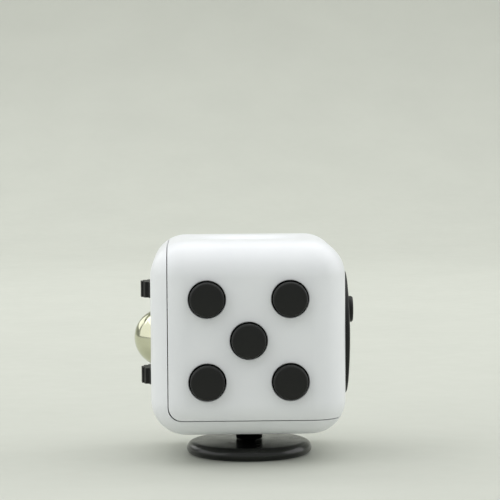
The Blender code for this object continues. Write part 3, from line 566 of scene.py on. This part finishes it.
def make_front_shell():
    shell, helpers = body_block("front_shell_skin")
    region = seam_region("front_region", SEAM_INSET)
    combine(shell, region, "INTERSECT")
    backing = cylinder(
        "dish_backing",
        DISH_HALF_X + DISH_BACKING_MARGIN,
        -WALL - DISH_BACKING,
        DISH_BACKING_TOP,
        CUBE + UP * HALF,
        UP,
    )
    backing.scale = (1, DISH_HALF_Y / DISH_HALF_X, 1)
    combine(shell, backing, "UNION")
    cutters = [dish_cutter()]
    for label in BUTTON_LABELS:
        place = middle("button_" + label)
        place.y = CUBE.y - HALF
        depth = WALL + CUTTER_PAST_WALL
        cutters.append(round_hole("hole_" + label, BUTTON_HOLE, depth, place, FRONT))
    dial_low, dial_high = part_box("dial")
    dial_radius = (dial_high.z - dial_low.z) / 2
    face = dial_face()
    recess_radius = dial_radius + DIAL_RECESS_GAP
    cutters.append(round_hole("dial_recess", recess_radius, DIAL_RECESS, face, RIGHT, 128))
    hole_radius = DIAL_SHAFT + DIAL_SHAFT_GAP
    hole_end = -WALL - SHAFT_CUTTER_PAST_WALL
    cutters.append(cylinder("dial_hole", hole_radius, hole_end, CUTTER_PROUD, face, RIGHT, 48))
    for cutter in cutters:
        combine(shell, cutter, "DIFFERENCE")
    settle(shell, helpers + [region, backing] + cutters)
    finish_piece(shell, "casing", "white_plastic", "front_shell")


def make_rear_shell():
    shell, helpers = body_block("rear_shell_skin")
    cutters = [seam_region("rear_region", SEAM_INSET - SEAM_GAP)]
    slot_radius = GEAR_RADIUS + GEAR_CLEARANCE
    for label in GEAR_LABELS:
        low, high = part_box("gear_" + label)
        place = (low + high) / 2
        half = (high.z - low.z) / 2 + GEAR_CLEARANCE
        cutters.append(cylinder("slot_" + label, slot_radius, -half, half, place, UP, 96))
        reach = place.x - (CUBE.x - HALF)
        half_y = math.sqrt(slot_radius**2 - reach**2)
        mouth = Vector((CUBE.x - HALF, place.y, place.z))
        cutters.append(flare("slot_mouth_" + label, half_y, half, mouth, LEFT))
    ball = middle("ball")
    ball_mouth = Vector((CUBE.x - HALF, ball.y, ball.z))
    cutters.append(
        cylinder(
            "ball_hole",
            BALL_HOLE_INNER,
            -BALL_HOLE_DEPTH,
            0,
            ball_mouth,
            LEFT,
            segments=96,
            top_radius=BALL_HOLE_OUTER,
        )
    )
    pivot = Vector(JOINTS["rocker_flip"]["pos_m"])
    low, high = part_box("rocker")
    half_x = (high.x - low.x) / 2 + ROCKER_SIDE_GAP
    radius = ROCKER_END_RADIUS + ROCKER_GAP
    cutters.append(cylinder("rocker_opening", radius, -half_x, half_x, pivot, RIGHT, 128))
    half_z = math.sqrt(radius**2 - (CUBE.y + HALF - pivot.y) ** 2)
    mouth = Vector((pivot.x, CUBE.y + HALF, pivot.z))
    cutters.append(flare("rocker_mouth", half_x, half_z, mouth, BACK))
    stick = Vector(JOINTS["joystick_tilt_x"]["pos_m"])
    stem_mouth = Vector((stick.x, stick.y, CUBE.z - HALF))
    depth = WALL + SHAFT_CUTTER_PAST_WALL
    cutters.append(round_hole("stem_hole", STEM_HOLE, depth, stem_mouth, DOWN))
    for cutter in cutters:
        combine(shell, cutter, "DIFFERENCE")
    settle(shell, helpers + cutters)
    finish_piece(shell, "casing", "white_plastic", "rear_shell")


# ---------------------------------------------------------------- controls


def make_buttons():
    for label in BUTTON_LABELS:
        node = "button_" + label
        low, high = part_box(node)
        place = (low + high) / 2
        place.y = CUBE.y - HALF
        top, foot = place.y - low.y, place.y - high.y
        flange_radius = (high.x - low.x) / 2
        flange_top = -WALL - FLANGE_GAP
        points = [(0, top)]
        points += arc(BUTTON_RADIUS - BUTTON_ROUND, top - BUTTON_ROUND, BUTTON_ROUND, 90, 0, 6)
        points += [
            (BUTTON_RADIUS, flange_top),
            (flange_radius, flange_top),
            (flange_radius, flange_top - FLANGE_THICKNESS),
            (BUTTON_FOOT, flange_top - FLANGE_THICKNESS),
            (BUTTON_FOOT, foot),
            (0, foot),
        ]
        button = new_object(node + "_skin", turned_mesh(node, points, 72), place, FRONT)
        finish_piece(button, node, "black_plastic", node)


def gear_outline():
    """Each tooth has four corners, given as its share of the tooth's step and its radius."""
    points = []
    step = 2 * math.pi / GEAR_TEETH
    root = GEAR_RADIUS - GEAR_TOOTH
    for tooth in range(GEAR_TEETH):
        corners = ((0.0, root), (0.36, root), (0.5, GEAR_RADIUS), (0.86, GEAR_RADIUS))
        for fraction, radius in corners:
            angle = step * (tooth + fraction)
            points.append((radius * math.cos(angle), radius * math.sin(angle)))
    return points


def circle_outline(radius, count):
    step = 2 * math.pi / count
    return [(radius * math.cos(i * step), radius * math.sin(i * step)) for i in range(count)]


def plate_object(name, outlines, half, edge, place):
    """A flat plate from closed outlines, with its corners rounded by edge."""
    curve = bpy.data.curves.new(name, "CURVE")
    curve.dimensions = "2D"
    curve.fill_mode = "BOTH"
    curve.extrude = half
    for outline in outlines:
        spline = curve.splines.new("POLY")
        spline.points.add(len(outline) - 1)
        for point, (x, y) in zip(spline.points, outline):
            point.co = (x, y, 0, 1)
        spline.use_cyclic_u = True
    maker = new_object(name + "_curve", curve)
    bpy.context.view_layer.update()
    graph = bpy.context.evaluated_depsgraph_get()
    mesh = bpy.data.meshes.new_from_object(maker.evaluated_get(graph))
    bpy.data.objects.remove(maker, do_unlink=True)
    work = bmesh.new()
    work.from_mesh(mesh)
    bmesh.ops.remove_doubles(work, verts=work.verts, dist=PLATE_WELD_DISTANCE)
    bmesh.ops.dissolve_limit(work, angle_limit=math.radians(1), verts=work.verts, edges=work.edges)
    bmesh.ops.recalc_face_normals(work, faces=work.faces)
    work.to_mesh(mesh)
    work.free()
    plate = new_object(name, mesh, place)
    bevel(plate, edge, 3)
    return plate


def make_gears():
    for label in GEAR_LABELS:
        node = "gear_" + label
        low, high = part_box(node)
        place = Vector(JOINTS[node + "_spin"]["pos_m"])
        outlines = [gear_outline(), circle_outline(GEAR_BORE, 32)]
        gear = plate_object(node + "_skin", outlines, (high.z - low.z) / 2, GEAR_EDGE, place)
        settle(gear)
        finish_piece(gear, node, "black_plastic", node)


def make_ball():
    low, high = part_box("ball")
    radius = (high.y - low.y) / 2
    points = arc(0, 0, radius, 90, -90, 48)
    points[0], points[-1] = (0, radius), (0, -radius)
    ball = new_object("ball_skin", turned_mesh("ball", points, 96), middle("ball"), BACK)
    finish_piece(ball, "ball", "ball_steel", "ball")


def make_dial():
    low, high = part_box("dial")
    radius = (high.z - low.z) / 2
    face = dial_face()
    rim = radius - DIAL_EDGE_ROUND
    steps = 16
    points = []
    for i in range(steps + 1):
        along = rim * i / steps
        points.append((along, DIAL_EDGE + (DIAL_APEX - DIAL_EDGE) * (1 - (along / radius) ** 2)))
    points += arc(rim, DIAL_EDGE - DIAL_EDGE_ROUND, DIAL_EDGE_ROUND, 75, 0, 4)
    points += [
        (radius, DIAL_UNDERSIDE),
        (DIAL_SHAFT, DIAL_UNDERSIDE),
        (DIAL_SHAFT, -DIAL_SHAFT_END),
        (DIAL_BORE, -DIAL_SHAFT_END),
        (DIAL_BORE, DIAL_BORE_FLOOR),
        (0, DIAL_BORE_FLOOR),
    ]
    dial = new_object("dial_skin", turned_mesh("dial", points, 128), face, RIGHT)
    nub_height = high.x - face.x
    nub_points = [(0, nub_height)]
    nub_points += arc(NUB_RADIUS - NUB_ROUND, nub_height - NUB_ROUND, NUB_ROUND, 90, 0, 6)
    nub_points += [(NUB_RADIUS, NUB_ROOT), (0, NUB_ROOT)]
    nub = new_object("dial_nub", turned_mesh("dial_nub", nub_points, 64), face + NUB_PLACE, RIGHT)
    combine(dial, nub, "UNION")
    settle(dial, [nub])
    finish_piece(dial, "dial", "black_plastic", "dial")


def rocker_outline():
    """The rocker's side view, from its pivot: x runs up the cube and y out of the back face."""
    tilt = math.tan(math.radians(ROCKER_SWING))
    end_x, end_y = ROCKER_END_RADIUS, ROCKER_VALLEY
    # Repeated until the end lies both on the sloping face and on the end radius.
    for _ in range(20):
        end_y = ROCKER_VALLEY + end_x * tilt
        end_x = math.sqrt(ROCKER_END_RADIUS**2 - end_y**2)
    start = math.degrees(math.asin(ROCKER_UNDERSIDE / ROCKER_END_RADIUS))
    right_end = arc(0, 0, ROCKER_END_RADIUS, start, math.degrees(math.atan2(end_y, end_x)), 12)
    left_end = [(-x, y) for x, y in reversed(right_end)]
    hub_start = 180 - math.degrees(math.asin(ROCKER_UNDERSIDE / ROCKER_HUB))
    hub = arc(0, 0, ROCKER_HUB, hub_start, 540 - hub_start, 32)
    return right_end + [(0, ROCKER_VALLEY)] + left_end + hub


def make_rocker():
    low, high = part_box("rocker")
    pivot = Vector(JOINTS["rocker_flip"]["pos_m"])
    outlines = [rocker_outline(), circle_outline(ROCKER_BORE, 32)]
    rocker = plate_object("rocker_skin", outlines, (high.x - low.x) / 2, ROCKER_EDGE, pivot)
    upright = Matrix(((0, 0, -1), (0, 1, 0), (1, 0, 0)))
    tilt = Matrix.Rotation(-math.radians(ROCKER_SWING), 3, "X")
    # The turn goes into the mesh, so that the object's bounding box stays tight.
    rocker.data.transform((tilt @ upright).to_4x4())
    settle(rocker)
    finish_piece(rocker, "rocker", "black_plastic", "rocker")


def make_joystick_cap():
    low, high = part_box("joystick_cap")
    radius = (high.x - low.x) / 2
    place = Vector(((low.x + high.x) / 2, (low.y + high.y) / 2, low.z))
    top = high.z - low.z
    top_round = top - CAP_CROWN - CAP_WIDEST
    crown_radius = radius - top_round
    points = [(0, top - CAP_SOCKET_DEPTH), (CAP_SOCKET, top - CAP_SOCKET_DEPTH)]
    crown_steps = 8
    for i in range(crown_steps):
        along = CAP_SOCKET + (crown_radius - CAP_SOCKET) * i / crown_steps
        points.append((along, top - CAP_CROWN * (along / crown_radius) ** 2))
    points += arc(radius - top_round, CAP_WIDEST, top_round, 90, 0, 10)
    points += arc(radius - CAP_WIDEST, CAP_WIDEST, CAP_WIDEST, 0, -90, 10)[1:]
    steps = 12
    for i in range(steps + 1):
        along = CAP_DISH * (1 - i / steps)
        points.append((along, CAP_DISH_DEPTH * (1 - (along / CAP_DISH) ** 2)))
    cap = new_object("joystick_cap_skin", turned_mesh("joystick_cap", points, 144), place)
    finish_piece(
        cap, "joystick", "black_plastic", "joystick_cap", material="black_plastic_polished"
    )


def dress_cad_nodes():
    """The pieces inside keep their CAD shapes and get their own finishes."""
    slots = {part["node"]: part["material_slot"] for part in frame["record"]["subparts"]}
    for name, node in NODES.items():
        node.data.materials.clear()
        node.data.materials.append(MATERIALS[slots[name]])
        if node.hide_render:
            continue
        weld = node.modifiers.new("weld", "WELD")
        weld.merge_threshold = WELD_DISTANCE
        node.data.shade_smooth()
        node.data.set_sharp_from_angle(angle=math.radians(SHARP_DEGREES))


def soften_pressed_nodes():
    """Gives the domes, pads and ball spring each a mesh of its own."""
    for name, node in NODES.items():
        if name.startswith(("click_dome_", "silent_pad_")):
            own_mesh(node)
    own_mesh(NODES["ball_spring"])


# ---------------------------------------------------------------- studio


def make_backdrop():
    """A pale sweep: floor, curve and wall in one sheet."""
    near, bend, radius, height, half_width = -1.2, 0.55, 0.5, 1.6, 2.0
    steps = 24
    profile = [(near, 0.0), (bend, 0.0)]
    for i in range(1, steps + 1):
        angle = math.pi / 2 * i / steps
        profile.append((bend + radius * math.sin(angle), radius * (1 - math.cos(angle))))
    profile.append((bend + radius, height))

    def build(work):
        rows = [[work.verts.new((x, y, z)) for x in (-half_width, half_width)] for y, z in profile]
        for first, second in zip(rows, rows[1:]):
            work.faces.new((first[0], first[1], second[1], second[0]))

    sweep = new_object("backdrop", mesh_from("backdrop", build))
    sweep.data.shade_smooth()
    recipe = Recipe("backdrop_paper")
    tone = recipe.ramp(recipe.noise(BACKDROP_MOTTLE), BACKDROP_DARK, BACKDROP_LIGHT)
    place = recipe.add("ShaderNodeSeparateXYZ")
    recipe.link(recipe.coordinates, place.inputs["Vector"])
    # Painted shade: the paper's colour is multiplied darker with height up the wall.
    unshaded = (1.0, 1.0, 1.0)
    painted_shade = recipe.ramp(place.outputs["Z"], unshaded, BACKDROP_PAINTED_SHADE, 0.0, BACKDROP_SHADE_HEIGHT)
    mix = recipe.add("ShaderNodeMix")
    mix.data_type = "RGBA"
    mix.blend_type = "MULTIPLY"
    mix.inputs["Factor"].default_value = 1.0
    recipe.link(tone, mix.inputs["A"])
    recipe.link(painted_shade, mix.inputs["B"])
    recipe.colour(mix.outputs["Result"])
    recipe.roughness(recipe.ramp(recipe.noise(BACKDROP_SHEEN), 0.55, 0.65))
    sweep.data.materials.append(recipe.material)


def add_area(name, place, target, size, power):
    light = bpy.data.lights.new(name, "AREA")
    light.shape = "RECTANGLE"
    light.size, light.size_y = size
    light.energy = power
    lamp = new_object(name, light, place)
    lamp.rotation_quaternion = (Vector(target) - Vector(place)).to_track_quat("-Z", "Y")


def make_lights():
    for name, (place, target, size, power) in LIGHTS.items():
        add_area(name, CUBE + Vector(place), CUBE + Vector(target), size, power)
    world = bpy.data.worlds.new("studio")
    world.use_nodes = True
    background = world.node_tree.nodes["Background"]
    background.inputs["Color"].default_value = WORLD_COLOUR
    background.inputs["Strength"].default_value = WORLD_STRENGTH
    bpy.context.scene.world = world


def make_camera():
    lens = bpy.data.cameras.new("camera")
    lens.sensor_width = SENSOR
    lens.lens = LENS
    lens.clip_start = CLIP_START
    lens.clip_end = CLIP_END
    camera = new_object("camera", lens)
    right = CAMERA_RIGHT.normalized()
    up = (CAMERA_UP - right * CAMERA_UP.dot(right)).normalized()
    columns = Matrix((right, up, right.cross(up))).transposed()
    camera.matrix_world = Matrix.Translation(CUBE + CAMERA_PLACE) @ columns.to_4x4()
    bpy.context.scene.camera = camera


make_front_shell()
make_rear_shell()
make_buttons()
make_gears()
make_ball()
make_dial()
make_rocker()
make_joystick_cap()
dress_cad_nodes()
soften_pressed_nodes()
make_backdrop()
make_lights()
make_camera()
bpy.context.scene.view_settings.view_transform = "Standard"
